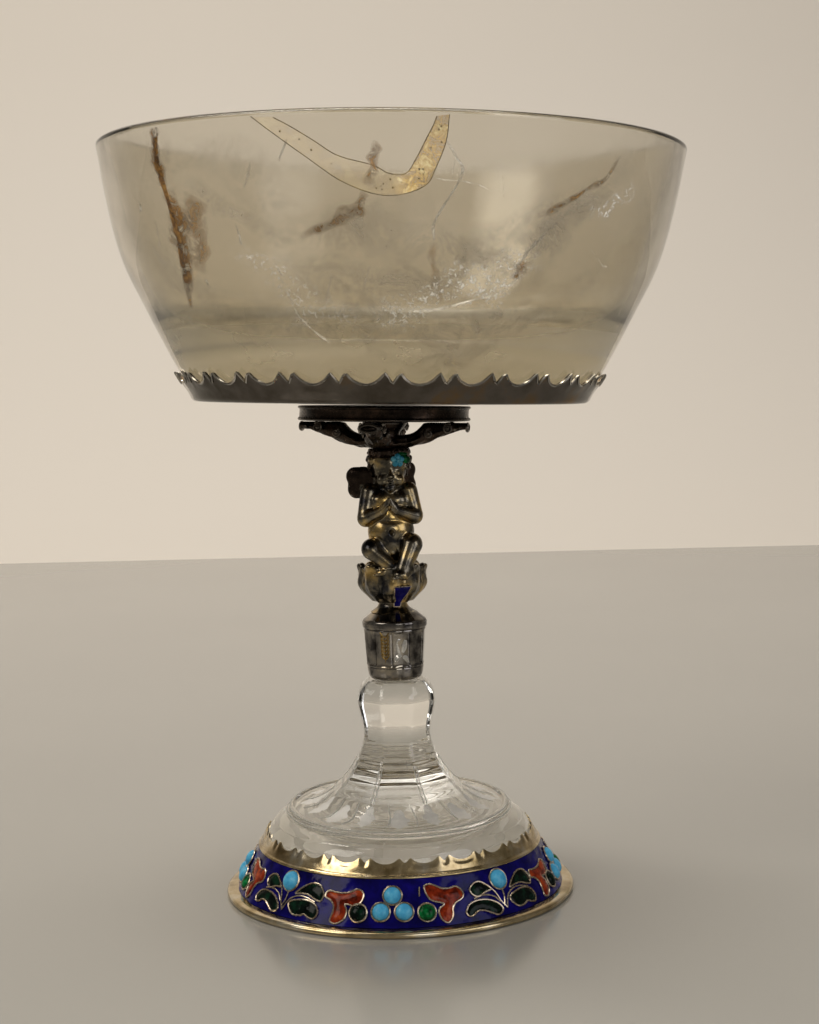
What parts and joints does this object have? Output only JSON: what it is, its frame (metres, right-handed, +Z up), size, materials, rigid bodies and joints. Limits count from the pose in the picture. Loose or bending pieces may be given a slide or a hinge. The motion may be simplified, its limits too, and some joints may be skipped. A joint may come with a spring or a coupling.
{
  "type": "rock crystal goblet",
  "caption": "Footed ceremonial goblet: hollow rock crystal bowl carried by a small cast seated putto on a flower pot, above an enamelled silver-gilt foot.",
  "frame": {"origin": "middle of the whole goblet's box at table level; the foot ring's own axis stands 0.8 mm to the left of it, because the bowl leans to the right", "axes": "+Z up through the stem to the mouth of the bowl, -Y the side the putto faces, +X to the viewer's right"},
  "size_m": [0.1184, 0.1188, 0.1549],
  "materials": {
    "bowl_crystal": "polished smoky rock crystal with rust veins and a glued break at the rim",
    "foot_crystal": "cut and engraved clear rock crystal",
    "dish_silver": "dark polished silver",
    "black_silver": "cast silver, blackened with age",
    "putto_silver": "oxidised cast silver with worn gilding",
    "pot_silver": "engraved oxidised silver",
    "gilt": "worn silver-gilt",
    "cobalt_enamel": "glossy fired enamel",
    "turquoise": "polished domed turquoise",
    "green_enamel": "glossy translucent enamel"
  },
  "bodies": {
    "root": {"crystal_bowl": "bowl_crystal", "bowl_mount": "dish_silver", "drum_collar": "black_silver", "bracket_crown": "black_silver", "putto": "putto_silver", "leaf_cup": "putto_silver", "pot": "pot_silver", "crystal_foot": "foot_crystal", "foot_mount": "gilt", "enamel_band": "cobalt_enamel", "turquoise_1": "turquoise", "turquoise_2": "turquoise", "turquoise_3": "turquoise", "turquoise_4": "turquoise", "turquoise_5": "turquoise", "turquoise_6": "turquoise", "turquoise_7": "turquoise", "turquoise_8": "turquoise", "turquoise_9": "turquoise", "turquoise_10": "turquoise", "turquoise_11": "turquoise", "turquoise_12": "turquoise", "turquoise_13": "turquoise", "turquoise_14": "turquoise", "turquoise_15": "turquoise", "turquoise_16": "turquoise", "green_1": "green_enamel", "green_2": "green_enamel", "green_3": "green_enamel", "green_4": "green_enamel", "green_5": "green_enamel", "green_6": "green_enamel", "green_7": "green_enamel", "green_8": "green_enamel"}
  },
  "joints": []
}
